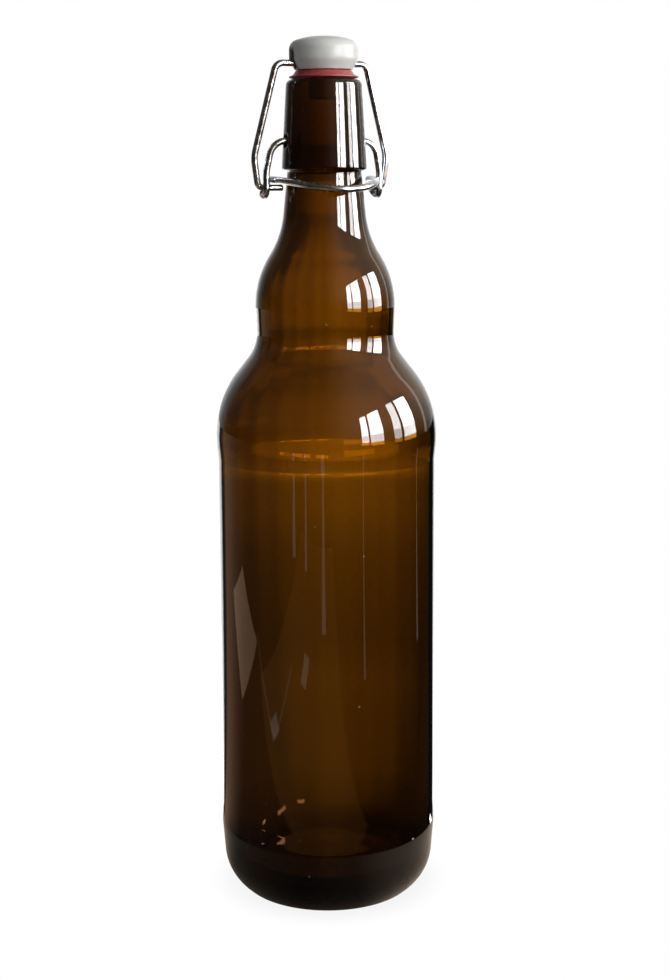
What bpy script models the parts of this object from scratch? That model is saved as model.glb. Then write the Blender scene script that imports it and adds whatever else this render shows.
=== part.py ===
"""One litre swing top beer bottle of brown glass, empty and shut, as solids in metres.

The foot stands on z = 0 with the bottle's axis on Z.  The lever of the closure
faces -Y, and its pivots, eyes and cross bore all lie parallel to X.
"""

import math

import bpy
from mathutils import Matrix, Vector

MM = 0.001

# The bottle's outside, as corners (radius, height, rounding) from the lip down.
BODY_RADIUS = 42.2
LABEL_STEP = 0.5
LIP_HEIGHT = 316.4
COLLAR_FOOT = 283.4
GLASS_OUTSIDE = [
    (14.15, LIP_HEIGHT, 2.1),
    (16.10, COLLAR_FOOT, 1.0),
    (14.00, COLLAR_FOOT - 0.7, 0.6),
    (16.50, 258.8, 35.0),
    (27.00, 241.9, 36.0),
    (26.20, 217.1, 14.5),
    (43.60, 194.9, 40.0),
    (BODY_RADIUS + LABEL_STEP, 178.9, 0.0),
    (BODY_RADIUS, 177.4, 0.0),
    (BODY_RADIUS, 29.4, 0.0),
    (BODY_RADIUS + 2 * LABEL_STEP, 27.9, 0.6),
    (41.20, 6.4, 18.5),
    (34.10, 0.0, 2.0),
]

# The foot ring's inner edge and the pushed up middle of the base.
GLASS_BASE = [
    (30.40, 0.0, 1.5),
    (26.20, 5.4, 6.0),
    (9.00, 11.0, 36.0),
    (0.0, 11.0, 0.0),
]

# The hollow inside, from the middle of the floor up to the mouth.
MOUTH_RADIUS = 8.7
GLASS_INSIDE = [
    (0.0, 16.4, 0.0),
    (10.00, 16.4, 50.0),
    (36.60, 8.2, 9.0),
    (39.20, 27.0, 30.0),
    (39.20, 195.0, 36.0),
    (22.90, 215.9, 18.0),
    (23.50, 241.1, 32.0),
    (12.20, 259.4, 38.0),
    (8.90, 292.0, 30.0),
    (MOUTH_RADIUS, LIP_HEIGHT - 1.8, 0.0),
    (9.50, LIP_HEIGHT, 0.6),
]

# The lever's wire ends turn in two dimples in the collar.
PIVOT_HEIGHT = 294.0
DIMPLE_FLOOR = 12.4
DIMPLE_FLOOR_RADIUS = 2.0
DIMPLE_MOUTH_RADIUS = 2.8

# Steel wire: the eyes lie behind the pivots, past dead centre.
WIRE_RADIUS = 1.25
EYE_BACK = 4.0
EYE_HEIGHT = 276.7
EYE_RADIUS = 3.1
LEVER_END = 12.8
LEVER_SHOULDER = 20.4
LEVER_SIDE = 22.7
HANDLE_HALF_WIDTH = 19.8
HANDLE_REACH = 27.6
HANDLE_DROOP = 3.6
BORE_HEIGHT = 322.2
BAIL_SHOULDER = 17.8
BAIL_SHIFT = 0.9
BAIL_ELBOW = (26.6, 288.0)
BAIL_SIDE = 25.0
BAIL_END = 15.3

# The stopper and the rubber ring that seals it on the lip.
GAP = 0.3
SEAL_BOTTOM = LIP_HEIGHT + 0.4
SEAL_TOP = SEAL_BOTTOM + 2.7
STOPPER_TOP = 332.1
STEM_RADIUS = 5.0
NOTCH_RADIUS = 2.7
NOTCH_CENTRE = 13.6
NOTCH_TOP = 328.2
STOPPER = [
    (0.0, STOPPER_TOP, 0.0),
    (6.00, STOPPER_TOP, 26.0),
    (12.90, 329.9, 3.6),
    (12.90, 323.4, 4.0),
    (10.80, SEAL_TOP + GAP, 0.5),
    (STEM_RADIUS, SEAL_TOP + GAP, 0.0),
    (STEM_RADIUS, SEAL_BOTTOM - 0.5, 0.0),
    (6.10, SEAL_BOTTOM - 1.2, 0.5),
    (5.50, 308.9, 1.2),
    (0.0, 308.6, 0.0),
]
SEAL = [
    (STEM_RADIUS + GAP, SEAL_TOP, 0.0),
    (10.60, SEAL_TOP, 0.4),
    (11.50, SEAL_TOP - 1.5, 2.0),
    (13.00, SEAL_TOP - 2.0, 0.2),
    (12.90, SEAL_TOP - 2.5, 0.2),
    (11.60, SEAL_BOTTOM, 1.0),
    (STEM_RADIUS + GAP, SEAL_BOTTOM, 0.0),
]


def rounded(corners, deviation):
    """Return the path through the corners, each one turned into an arc of its own radius."""
    path = [corners[0][0]]
    for (before, _), (corner, radius), (after, _) in zip(corners, corners[1:], corners[2:]):
        if radius == 0:
            path.append(corner)
            continue
        back = (before - corner).normalized()
        ahead = (after - corner).normalized()
        half = back.angle(ahead) / 2
        centre = corner + (back + ahead).normalized() * (radius / math.sin(half))
        start = corner + back * (radius / math.tan(half)) - centre
        end = corner + ahead * (radius / math.tan(half)) - centre
        axis = start.cross(end)
        turn = math.pi - 2 * half
        steps = max(2, math.ceil(turn / (2 * math.acos(1 - deviation / radius))))
        path += [centre + Matrix.Rotation(turn * i / steps, 3, axis) @ start for i in range(steps + 1)]
    path.append(corners[-1][0])
    return path


def outline(points, deviation=0.03):
    """Return the half section for (radius, height, rounding) corners given in millimetres."""
    return rounded([(Vector((radius, 0, height)), rounding) for radius, height, rounding in points], deviation)


def material(name, colour, roughness, metallic=0.0, transmission=0.0):
    """Return a Principled material with one plain colour."""
    made = bpy.data.materials.new(name)
    made.use_nodes = True
    shader = made.node_tree.nodes["Principled BSDF"]
    shader.inputs["Base Color"].default_value = (*colour, 1.0)
    shader.inputs["Roughness"].default_value = roughness
    shader.inputs["Metallic"].default_value = metallic
    shader.inputs["Transmission Weight"].default_value = transmission
    made.diffuse_color = (*colour, 1.0)
    return made


def add_object(name, data, origin=(0, 0, 0)):
    """Link an object to the scene with its origin at a point given in millimetres."""
    made = bpy.data.objects.new(name, data)
    bpy.context.collection.objects.link(made)
    made.location = Vector(origin) * MM
    return made


def turned(name, path, segments, look=None, origin=(0, 0, 0), closed=False):
    """Return the solid made by turning a half section about Z with a Screw modifier."""
    shift = Vector(origin)
    edges = [(i, i + 1) for i in range(len(path) - 1)]
    if closed:
        edges.append((len(path) - 1, 0))
    mesh = bpy.data.meshes.new(name)
    mesh.from_pydata([(point - shift) * MM for point in path], edges, [])
    made = add_object(name, mesh, origin)
    screw = made.modifiers.new("turn about the axis", 'SCREW')
    screw.axis = 'Z'
    screw.angle = 2 * math.pi
    screw.steps = screw.render_steps = segments
    screw.use_merge_vertices = True
    screw.merge_threshold = 0.00001
    screw.use_smooth_shade = True
    if look:
        mesh.materials.append(look)
    return made


def wire(name, path, look, origin):
    """Return a round wire with flat ends along a path, as a curve with a bevel."""
    shift = Vector(origin)
    curve = bpy.data.curves.new(name, 'CURVE')
    curve.dimensions = '3D'
    curve.bevel_depth = WIRE_RADIUS * MM
    curve.bevel_resolution = 3
    curve.use_fill_caps = True
    line = curve.splines.new('POLY')
    line.points.add(len(path) - 1)
    for target, point in zip(line.points, path):
        target.co = (*((point - shift) * MM), 1.0)
    curve.materials.append(look)
    return add_object(name, curve, origin)


def cut(target, cutter):
    """Take the cutter's shape out of the target with a Boolean modifier."""
    cutter.hide_render = True
    cutter.display_type = 'WIRE'
    step = target.modifiers.new("cut " + cutter.name, 'BOOLEAN')
    step.operation = 'DIFFERENCE'
    step.solver = 'EXACT'
    step.object = cutter


def mirrored(half):
    """Return a whole path from its +X half, which ends on the plane x = 0."""
    other = [Vector((-point.x, point.y, point.z)) for point in reversed(half[:-1])]
    return half + other


def bail_path():
    """Return the bail's path: a tip in each eye, two bowed legs and the bar in the stopper.

    The bar has slid a little towards -X in its bore, so the legs lean with it.
    """
    lean = EYE_BACK / (BORE_HEIGHT - EYE_HEIGHT)
    elbow_x, elbow_z = BAIL_ELBOW
    corners = [
        (Vector((BAIL_END, EYE_BACK, EYE_HEIGHT)), 0),
        (Vector((BAIL_SIDE, EYE_BACK, EYE_HEIGHT)), 2.4),
        (Vector((elbow_x, lean * (BORE_HEIGHT - elbow_z), elbow_z)), 14.0),
        (Vector((BAIL_SHOULDER, 0, BORE_HEIGHT)), 3.4),
        (Vector((0, 0, BORE_HEIGHT)), 0),
    ]
    path = mirrored(rounded(corners, 0.04))
    for point in path:
        point.x -= BAIL_SHIFT * max(0.0, point.z - EYE_HEIGHT) / (BORE_HEIGHT - EYE_HEIGHT)
    return path


def lever_path():
    """Return the lever's path: a pivot end, an arm, three quarters of an eye, then the handle."""
    eye_front = EYE_BACK - EYE_RADIUS
    arm = rounded([
        (Vector((LEVER_END, 0, PIVOT_HEIGHT)), 0),
        (Vector((LEVER_SHOULDER, 0, PIVOT_HEIGHT)), 6.5),
        (Vector((LEVER_SIDE, eye_front, EYE_HEIGHT + 6.0)), 12.0),
        (Vector((LEVER_SIDE, eye_front, EYE_HEIGHT)), 0),
    ], 0.04)
    eye_steps = 14
    eye = []
    for i in range(1, eye_steps + 1):
        angle = 1.5 * math.pi * i / eye_steps
        along = max(0.0, angle - math.radians(110)) / math.radians(160)
        side = LEVER_SIDE + (HANDLE_HALF_WIDTH - LEVER_SIDE) * along * along * (3 - 2 * along)
        eye.append(Vector((side, EYE_BACK - EYE_RADIUS * math.cos(angle), EYE_HEIGHT - EYE_RADIUS * math.sin(angle))))
    handle_steps = 14
    handle = []
    for i in range(1, handle_steps + 1):
        angle = 0.5 * math.pi * i / handle_steps
        handle.append(Vector((
            HANDLE_HALF_WIDTH * math.cos(angle),
            EYE_BACK - HANDLE_REACH * math.sin(angle),
            EYE_HEIGHT + EYE_RADIUS - HANDLE_DROOP * math.sin(angle) ** 2,
        )))
    handle[-1].x = 0
    return mirrored(arm + eye + handle)


def build_glass(look):
    """Build the hollow bottle and press the two dimples for the lever into its collar."""
    bottle = turned("glass_bottle", outline(GLASS_INSIDE + GLASS_OUTSIDE + GLASS_BASE, 0.16), 48, look)
    depth = 6.0
    flare = (DIMPLE_MOUTH_RADIUS - DIMPLE_FLOOR_RADIUS) / 3.2
    cone = [
        (0.0, DIMPLE_FLOOR + depth, 0),
        (DIMPLE_FLOOR_RADIUS + flare * depth, DIMPLE_FLOOR + depth, 0),
        (DIMPLE_FLOOR_RADIUS, DIMPLE_FLOOR, 0.8),
        (0.0, DIMPLE_FLOOR, 0),
    ]
    for side, turn in (("right", 0.5), ("left", -0.5)):
        dimple = turned("dimple_" + side, outline(cone), 16)
        dimple.location.z = PIVOT_HEIGHT * MM
        dimple.rotation_euler.y = turn * math.pi
        cut(bottle, dimple)
    return bottle


def build_stopper(look):
    """Build the stopper with its plug, the cross bore for the bail and a notch at each side."""
    bore_centre = (0, 0, BORE_HEIGHT)
    stopper = turned("stopper", outline(STOPPER, 0.05), 32, look, origin=bore_centre)
    bore = turned("cross_bore", outline([(0.0, 20.0, 0), (WIRE_RADIUS + GAP, 20.0, 0), (WIRE_RADIUS + GAP, -20.0, 0), (0.0, -20.0, 0)]), 16)
    bore.location.z = BORE_HEIGHT * MM
    bore.rotation_euler.y = 0.5 * math.pi
    cut(stopper, bore)
    groove = outline([(0.0, NOTCH_TOP, 0), (NOTCH_RADIUS, NOTCH_TOP, NOTCH_RADIUS - 0.3), (NOTCH_RADIUS, 318.0, 0), (0.0, 318.0, 0)], 0.06)
    for side, x in (("right", NOTCH_CENTRE), ("left", -NOTCH_CENTRE)):
        notch = turned("notch_" + side, groove, 20)
        notch.location.x = x * MM
        notch.rotation_euler.z = math.pi / 20
        cut(stopper, notch)
    return stopper


def main():
    """Clear the scene and build the bottle, its stopper, the seal and the two wires."""
    for old in list(bpy.data.objects):
        bpy.data.objects.remove(old)

    brown_glass = material("brown_glass", (0.115, 0.050, 0.018), 0.05, transmission=0.9)
    porcelain = material("white_porcelain", (0.78, 0.78, 0.75), 0.12)
    rubber = material("red_rubber", (0.42, 0.045, 0.050), 0.45)
    steel = material("bright_steel", (0.62, 0.61, 0.59), 0.18, metallic=1.0)

    build_glass(brown_glass)
    stopper = build_stopper(porcelain)
    seal = turned("rubber_seal", outline(SEAL, 0.06), 32, rubber, origin=(0, 0, BORE_HEIGHT), closed=True)
    seal.parent = stopper
    seal.matrix_parent_inverse = Matrix.Translation(-stopper.location)
    wire("wire_bail", bail_path(), steel, (0, EYE_BACK, EYE_HEIGHT))
    wire("wire_lever", lever_path(), steel, (0, 0, PIVOT_HEIGHT))


main()
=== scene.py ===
"""Looks of the one litre swing top beer bottle: brown glass, porcelain, rubber and wire.

Every finished piece is worked out in millimetres, in the frame of the solids, and
stands on its own solid: the foot on z = 0, the axis on Z, the lever towards -Y.
"""

import math

import bpy
import numpy as np
from bpy.props import FloatProperty, FloatVectorProperty, IntProperty, PointerProperty
from bpy.types import Operator, Panel, PropertyGroup
from mathutils import Matrix, Vector


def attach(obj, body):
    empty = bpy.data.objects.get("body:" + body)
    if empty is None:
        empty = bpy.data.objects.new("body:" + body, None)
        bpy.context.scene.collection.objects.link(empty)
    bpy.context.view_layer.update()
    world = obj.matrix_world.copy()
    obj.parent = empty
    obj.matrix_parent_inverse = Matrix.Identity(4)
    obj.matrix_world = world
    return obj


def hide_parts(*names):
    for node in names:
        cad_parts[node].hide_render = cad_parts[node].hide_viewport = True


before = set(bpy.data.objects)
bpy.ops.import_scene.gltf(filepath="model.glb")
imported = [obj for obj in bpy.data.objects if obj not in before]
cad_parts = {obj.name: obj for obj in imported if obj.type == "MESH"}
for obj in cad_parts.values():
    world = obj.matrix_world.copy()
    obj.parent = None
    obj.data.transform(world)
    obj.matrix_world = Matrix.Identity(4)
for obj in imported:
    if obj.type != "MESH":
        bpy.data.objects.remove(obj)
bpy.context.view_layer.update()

bl_info = {
    "name": "Swing top beer bottle",
    "version": (1, 0, 0),
    "blender": (4, 5, 0),
    "location": "3D View > Sidebar > Bottle",
    "description": "Builds a brown glass swing top bottle with its closure, and the table it stands on",
    "category": "Add Mesh",
}

MM = 0.001

# Sizes of the solids in millimetres.  A profile is (radius, height, rounding) corners.
BODY_RADIUS = 42.2
LABEL_STEP = 0.5
LIP_HEIGHT = 316.4
COLLAR_FOOT = 283.4
MOUTH_RADIUS = 8.7
GLASS_INSIDE = [
    (0.0, 16.4, 0.0),
    (10.00, 16.4, 50.0),
    (36.60, 8.2, 9.0),
    (39.20, 27.0, 30.0),
    (39.20, 195.0, 36.0),
    (22.90, 215.9, 18.0),
    (23.50, 241.1, 32.0),
    (12.20, 259.4, 38.0),
    (8.90, 292.0, 30.0),
    (MOUTH_RADIUS, LIP_HEIGHT - 1.8, 0.0),
    (9.50, LIP_HEIGHT, 0.6),
]
GLASS_OUTSIDE = [
    (14.15, LIP_HEIGHT, 2.1),
    (16.10, COLLAR_FOOT, 1.0),
    (14.00, COLLAR_FOOT - 0.7, 0.6),
    (16.50, 258.8, 35.0),
    (27.00, 241.9, 36.0),
    (26.20, 217.1, 14.5),
    (43.60, 194.9, 40.0),
    (BODY_RADIUS + LABEL_STEP, 178.8, 8.0),
    (BODY_RADIUS, 173.5, 20.0),
    (BODY_RADIUS, 33.0, 30.0),
    (BODY_RADIUS + LABEL_STEP, 26.0, 20.0),
    (41.20, 6.4, 18.5),
    (34.10, 0.0, 2.0),
]
GLASS_BASE = [
    (30.40, 0.0, 1.5),
    (26.20, 5.4, 6.0),
    (9.00, 11.0, 36.0),
    (0.0, 11.0, 0.0),
]
PIVOT_HEIGHT = 294.0
DIMPLE_FLOOR = 12.4
DIMPLE_FLOOR_RADIUS = 2.0
DIMPLE_SLOPE = 4.0
DIMPLE_REACH = 4.5
DIMPLE_EASE = 0.5
# The lip's middle joins the inside to the outside.  Round the dimples the rows lie closer.
LIP_MIDDLE = 11.8
FINE_BAND = 8.0
FINE_STEP = 0.3
COLLAR_LEAST = 14.0
# Nothing is pressed in nearer to the axis than this.
NEAR_AXIS = 8.0

WIRE_RADIUS = 1.25
WIRE_SIDES = 24
# A wire's rounded tip as (way along, share of the radius), and the gap to its next ring.
WIRE_TIP = ((0.0, 0.0), (0.0, 0.55), (0.06, 0.80), (0.25, 0.96), (0.6, 1.0))
WIRE_TIP_GAP = 0.2
EYE_BACK = 4.0
EYE_HEIGHT = 276.7
EYE_RADIUS = 3.1
LEVER_END = 12.8
LEVER_SHOULDER = 20.4
LEVER_SIDE = 22.7
HANDLE_HALF_WIDTH = 19.8
HANDLE_REACH = 27.6
HANDLE_DROOP = 3.6
LEVER_STEPS = 49
EYE_EASE_START = math.radians(110.0)
EYE_EASE_TURN = math.radians(160.0)
BORE_HEIGHT = 322.2
BAIL_SHOULDER = 17.8
BAIL_SHIFT = 0.9
BAIL_ELBOW = (26.6, 288.0)
BAIL_SIDE = 25.0
BAIL_END = 15.3

GAP = 0.3
SEAL_BOTTOM = LIP_HEIGHT + 0.4
SEAL_TOP = SEAL_BOTTOM + 2.7
STOPPER_TOP = 332.1
STEM_RADIUS = 5.0
NOTCH_RADIUS = 2.7
NOTCH_CENTRE = 13.6
NOTCH_TOP = 328.2
NOTCH_EASE = 0.5
NOTCH_SPREAD = 3.0
HEAD_RADIUS = 13.0
BORE_FLOOR = 5.5
BORE_SLOPE = 14.0
BORE_REACH = 2.6
BORE_EASE = 0.25
STOPPER_COLUMNS = 288
SEAL_COLUMNS = 160
STOPPER = [
    (0.0, STOPPER_TOP, 0.0),
    (6.00, STOPPER_TOP, 26.0),
    (12.90, 329.9, 3.6),
    (12.90, 323.4, 4.0),
    (10.80, SEAL_TOP + GAP, 0.5),
    (STEM_RADIUS, SEAL_TOP + GAP, 0.3),
    (STEM_RADIUS, SEAL_BOTTOM - 0.5, 0.2),
    (6.10, SEAL_BOTTOM - 1.2, 0.5),
    (5.50, 308.9, 1.2),
    (0.0, 308.6, 0.0),
]
SEAL = [
    (STEM_RADIUS + GAP, SEAL_TOP, 0.0),
    (10.60, SEAL_TOP, 0.4),
    (11.50, SEAL_TOP - 1.5, 2.0),
    (13.00, SEAL_TOP - 2.0, 0.2),
    (12.90, SEAL_TOP - 2.5, 0.2),
    (11.60, SEAL_BOTTOM, 1.0),
    (STEM_RADIUS + GAP, SEAL_BOTTOM, 0.0),
]

# The camera stands 20 degrees to the left of the bottle's front, a little above its neck.
CAMERA_TURN = math.radians(20.0)
CAMERA_PITCH = math.radians(10.65)
CAMERA_ROLL = math.radians(0.35)
CAMERA_DISTANCE = 635.2
CAMERA_HEIGHT = 279.7
CAMERA_LENS = 60.66
CAMERA_SHIFT = 0.009
CAMERA_SENSOR = 36.0
CAMERA_CLIP = (0.01, 20.0)


def linear(hex_colour, level=1.0):
    """Turn an sRGB hex colour such as "#8a5a20" into linear red, green, blue and alpha.

    The level makes it darker, or brighter than white, as a light can be.
    """
    parts = [int(hex_colour[i:i + 2], 16) / 255 for i in (1, 3, 5)]
    return (*(level * (p / 12.92 if p <= 0.04045 else ((p + 0.055) / 1.055) ** 2.4) for p in parts), 1.0)


def grey(level):
    """A neutral colour of one brightness."""
    return linear("#ffffff", level)


def warm(level):
    """The colour of a brown room at one brightness."""
    return linear("#ffe7d1", level)


# The window beside the table in metres.  It stands at a turn to the right of the camera, and
# each pane has a name, a left and a right edge along the wall, and a brightness.
WINDOW_TURN = 74.0
WINDOW_DISTANCE = 1.4
WINDOW_PANES = (
    ("first", -1.067, -0.81, 1.0),
    ("second", -0.74, -0.325, 1.0),
    ("third", 0.0, 0.245, 0.60),
    ("fourth", 0.33, 0.87, 1.0),
)
WHITE = linear("#ffffff")
GOLDEN = linear("#ffad30")
# Its bands upwards: bottom, top, brightness, the share that shows through the glass, colour.
WINDOW_BANDS = (
    (0.085, 0.165, 0.26, 0.0, GOLDEN),
    (0.165, 0.36, 0.5, 0.10, WHITE),
    (0.36, 0.98, 1.0, 0.10, WHITE),
)
# The two soft lights that only fall on the porcelain, the rubber and the steel, in metres and
# degrees to the right of the camera.
SOFT_LIGHT_SIZE = 1.0
SOFT_LIGHT_DISTANCE = 1.2
KEY_TURN, KEY_HEIGHT = 62.0, 0.75
FILL_TURN, FILL_HEIGHT = 165.0, 0.45
# How bright the room and the table are for the soft light that they give.
SOFT_LEVEL = 0.16

# Painted reflections of sheets and battens, and painted glints, in the table's glow, only seen mirrored,
# in metres and degrees: turn to the right of the camera, distance, half length, half width, tilt and
# colour.
PAPER_REFLECTION = linear("#e5c29e")
PALE_WOOD_REFLECTION = linear("#c4bcb1")
DULL_EDGE_REFLECTION = linear("#867969")
BROWN_BOARD_REFLECTION = linear("#7c5527")
# Painted highlights on the heel and painted glints on the base, brighter than white.
HEEL_HIGHLIGHT = linear("#fff7eb", 6.0)
GLINT = linear("#ffaa63", 4.0)
# A sheet's edge fades over this many metres, or less where its longer half by a share is less.
SHEET_EDGE = 0.006
SHEET_EDGE_SHARE = 0.4
PAINTED_REFLECTIONS = (
    (-3.2, 0.72, 0.27, 0.013, 0.0, PALE_WOOD_REFLECTION),
    (-20.8, 0.82, 0.20, 0.010, 0.0, PALE_WOOD_REFLECTION),
    (-33.0, 0.86, 0.20, 0.016, 0.0, PALE_WOOD_REFLECTION),
    (38.0, 0.68, 0.33, 0.003, 0.0, PALE_WOOD_REFLECTION),
    (108.0, 0.70, 0.30, 0.005, 0.0, PALE_WOOD_REFLECTION),
    (-97.5, 0.447, 0.130, 0.088, -34.0, PAPER_REFLECTION),
    (-68.1, 0.335, 0.110, 0.001, -31.5, DULL_EDGE_REFLECTION),
    (-43.1, 0.310, 0.078, 0.001, 34.8, DULL_EDGE_REFLECTION),
    (-54.0, 0.262, 0.015, 0.015, -31.5, PALE_WOOD_REFLECTION),
    (-22.0, 0.370, 0.030, 0.014, 24.0, PALE_WOOD_REFLECTION),
    (-17.4, 0.419, 0.290, 0.200, 17.4, BROWN_BOARD_REFLECTION),
    (124.0, 0.098, 0.005, 0.004, 0.0, HEEL_HIGHLIGHT),
    (84.0, 0.101, 0.003, 0.002, 0.0, HEEL_HIGHLIGHT),
    (-25.4, 0.163, 0.0005, 0.008, -6.0, GLINT),
    (-44.0, 0.148, 0.0005, 0.009, -28.0, GLINT),
    (-62.0, 0.128, 0.001, 0.003, -30.0, GLINT),
)
# Painted patches of light in the table's glow far behind the bottle, which are only seen through it.
AMBER_LIGHT = linear("#ffe6c8", 1.9)
SOFT_AMBER = linear("#e7e1cb")
PAINTED_GLOWS_SEEN_THROUGH = (
    (-176.5, 1.185, 0.030, 0.009, 0.0, AMBER_LIGHT),
    (-178.0, 1.185, 0.030, 0.011, 0.0, AMBER_LIGHT),
    (176.9, 1.12, 0.060, 0.030, 0.0, SOFT_AMBER),
)

# Brightness of the room and the table, as (place, colour) pairs in the order of the place.
# What is mirrored of the room, by how far a direction points behind the bottle.
ROOM_BEHIND = ((0.20, grey(0.0)), (0.60, grey(0.04)), (0.80, grey(0.35)), (1.0, grey(1.0)))
# The same, by how far it points to the right of the camera.
ROOM_ACROSS = (
    (-1.0, warm(0.07)), (-0.08, warm(0.05)), (0.16, warm(0.16)), (0.48, warm(0.56)),
    (0.76, warm(0.70)), (1.0, warm(0.70)),
)
# The far wall seen through the glass, by the height of the direction.
WALL_THROUGH = (
    (-0.10, grey(0.68)), (-0.08, grey(1.0)), (-0.036, grey(1.10)), (-0.004, grey(0.95)),
    (0.024, grey(0.42)), (0.14, grey(0.33)), (0.30, grey(0.55)),
)
# The table's painted brightness seen through the glass, dimmer close to the bottle as in its shade,
# by the distance from the bottle in metres.
TABLE_THROUGH = (
    (0.036, grey(0.20)), (0.10, grey(0.34)), (0.20, grey(0.34)), (0.27, grey(0.38)),
    (0.36, grey(0.30)), (0.60, grey(0.43)), (0.76, grey(0.66)), (0.91, grey(0.72)),
    (1.00, grey(1.35)), (1.14, grey(1.42)), (1.22, grey(1.5)), (1.36, grey(0.90)),
    (1.54, grey(0.92)), (1.90, grey(0.75)), (2.33, grey(0.58)), (2.70, grey(0.85)),
    (3.00, grey(1.0)),
)
# The table's painted reflection colours, which only mirrored rays see, by the turn to the right of
# the camera in degrees, far off and close by.
PALE_POST_REFLECTION = linear("#a2816c")
TABLE_FAR = (
    (-180.0, grey(2.0)), (-147.0, grey(1.7)), (-142.5, grey(0.04)), (-135.0, grey(0.04)),
    (-130.5, PALE_POST_REFLECTION), (-120.5, PALE_POST_REFLECTION), (-93.5, grey(0.03)), (-61.0, grey(0.03)),
    (-14.5, grey(0.006)), (154.0, grey(0.01)), (158.5, grey(0.9)), (180.0, grey(1.3)),
)
TABLE_CLOSE = (
    (-180.0, warm(0.8)), (-129.5, warm(0.40)), (-90.0, warm(0.12)), (-18.0, warm(0.05)),
    (21.5, warm(0.10)), (50.5, warm(0.36)), (90.0, warm(0.50)), (180.0, warm(0.8)),
)
# From where to where, in metres, the close table turns into the far one.
CLOSE_REACH = (0.092, 0.097)
# A bright door frame behind on the right: its turn, its half widths bright and faded, its level.
FRAME_TURN = math.radians(127.0)
FRAME_BRIGHT = math.radians(1.0)
FRAME_FADED = math.radians(3.5)
FRAME_LEVEL = 1.1
# Through the glass the room is dimmest on the left, and the table is shaded on the right.
LEFT_DIMNESS = 0.42
RIGHT_SHADE = 0.32
# The bottle's soft shade on the table, from where it starts to where it ends, in metres.
FOOT_SHADE = (0.034, 0.050)
FOOT_SHADE_LEVEL = 0.90
TABLE_RINGS = (0.05, 0.2, 0.6, 1.0)
TABLE_CORNERS = 96

# Real sizes and places of the surface patterns in millimetres.
CORD_WIDTH = 4.0
DUST_PATCH = 11.1
GLASS_WAVE = 35.7
FOOT_GRAIN = 1.11
FOOT_GRAIN_TOP = (8.0, 18.0)
LINT_SPACING = 11.76
PORCELAIN_CLOUD = 5.55
IRON_SPACING = 2.38
GLAZE_PEEL = 2.0
# Where the painted shade in the stopper's notches lies: its width off the middle, its top and its foot.
NOTCH_SHADE_WIDTH = (2.0, 3.2)
NOTCH_SHADE_FOOT = (318.5, 319.0)
NOTCH_SHADE_TOP = (326.5, 328.5)
RUBBER_MOTTLE = 2.86
RUBBER_GRAIN = 0.4
STEEL_SPOT = 2.38
DIE_LINE_LENGTH = 33.3
# The number of die lines around a wire, and a cord's width as a share of its length.
DIE_LINES = 26.0
CORD_STRETCH = 0.06

# The inner wall's slow waves: lobes around, start, millimetres of height a radian, and share.
WALL_WAVES = (
    (3, 0.9, 70.0, 1.0),
    (5, -1.7, -95.0, 0.7),
    (11, 0.4, 160.0, 0.5),
    (23, 2.0, 120.0, 0.35),
)
# They grow with the wall's radius from a first one over a span, and fade out towards a top.
WAVES_START_RADIUS = 10.8
WAVES_RADIUS_SPAN = 12.0
WAVES_TOP = 285.0
WAVES_TOP_SPAN = 20.0


class GlassSettings(PropertyGroup):
    """Sizes and colour of the glass."""

    colour: FloatVectorProperty(
        name="Colour", description="Tint the light takes at each face of the glass",
        subtype='COLOR', size=3, min=0.0, max=1.0, default=linear("#fcd4c4")[:3])
    depth: FloatProperty(
        name="Depth", description="How fast the wall soaks up light, per metre",
        min=0.0, default=870.0)
    waviness: FloatProperty(
        name="Waviness", description="Height of the slow waves on the inner wall",
        subtype='DISTANCE', unit='LENGTH', min=0.0, max=0.0005, default=0.00010)
    columns: IntProperty(
        name="Columns", description="Faces around the bottle", min=48, max=320, default=240)


class ClosureSettings(PropertyGroup):
    """Sizes and colours of the stopper, the seal and the wires."""

    porcelain_colour: FloatVectorProperty(
        name="Porcelain", description="Colour of the glazed stopper",
        subtype='COLOR', size=3, min=0.0, max=1.0, default=linear("#ddddd9")[:3])
    rubber_colour: FloatVectorProperty(
        name="Rubber", description="Colour of the seal",
        subtype='COLOR', size=3, min=0.0, max=1.0, default=linear("#b14548")[:3])
    wire_radius: FloatProperty(
        name="Wire radius", description="Half the thickness of the two steel wires",
        subtype='DISTANCE', unit='LENGTH', min=0.0005, max=0.00125, default=WIRE_RADIUS * MM)


class StudioSettings(PropertyGroup):
    """The light, the table and the camera."""

    window_strength: FloatProperty(
        name="Window", description="Brightness of the window panes mirrored in the glass",
        min=0.0, default=26.0)
    key_power: FloatProperty(
        name="Key light", description="Power of the soft light on the right",
        subtype='POWER', unit='POWER', min=0.0, default=20.0)
    fill_power: FloatProperty(
        name="Fill light", description="Power of the soft light behind the bottle",
        subtype='POWER', unit='POWER', min=0.0, default=12.0)
    floor_radius: FloatProperty(
        name="Table radius", description="Half the width of the table top",
        subtype='DISTANCE', unit='LENGTH', min=0.5, default=3.0)


def add_node(tree, kind, settings=None, stops=(), **inputs):
    """Add a shader node, set its properties and its colour stops, and set or link its inputs.

    An input is named by its socket, with _ for a space, or by in0, in1 and so on for its
    place.  A value that is a socket is linked, and any other is set.
    """
    node = tree.nodes.new("ShaderNode" + kind)
    for key, value in (settings or {}).items():
        setattr(node, key, value)
    for i, (position, colour) in enumerate(stops):
        elements = node.color_ramp.elements
        element = elements[i] if i < 2 else elements.new(position)
        element.position = position
        element.color = (*colour, 1.0)[:4]
    for key, value in inputs.items():
        place = int(key[2:]) if key[:2] == "in" and key[2:].isdigit() else key.replace("_", " ")
        if isinstance(value, bpy.types.NodeSocket):
            tree.links.new(value, node.inputs[place])
        else:
            node.inputs[place].default_value = value
    return node


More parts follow.
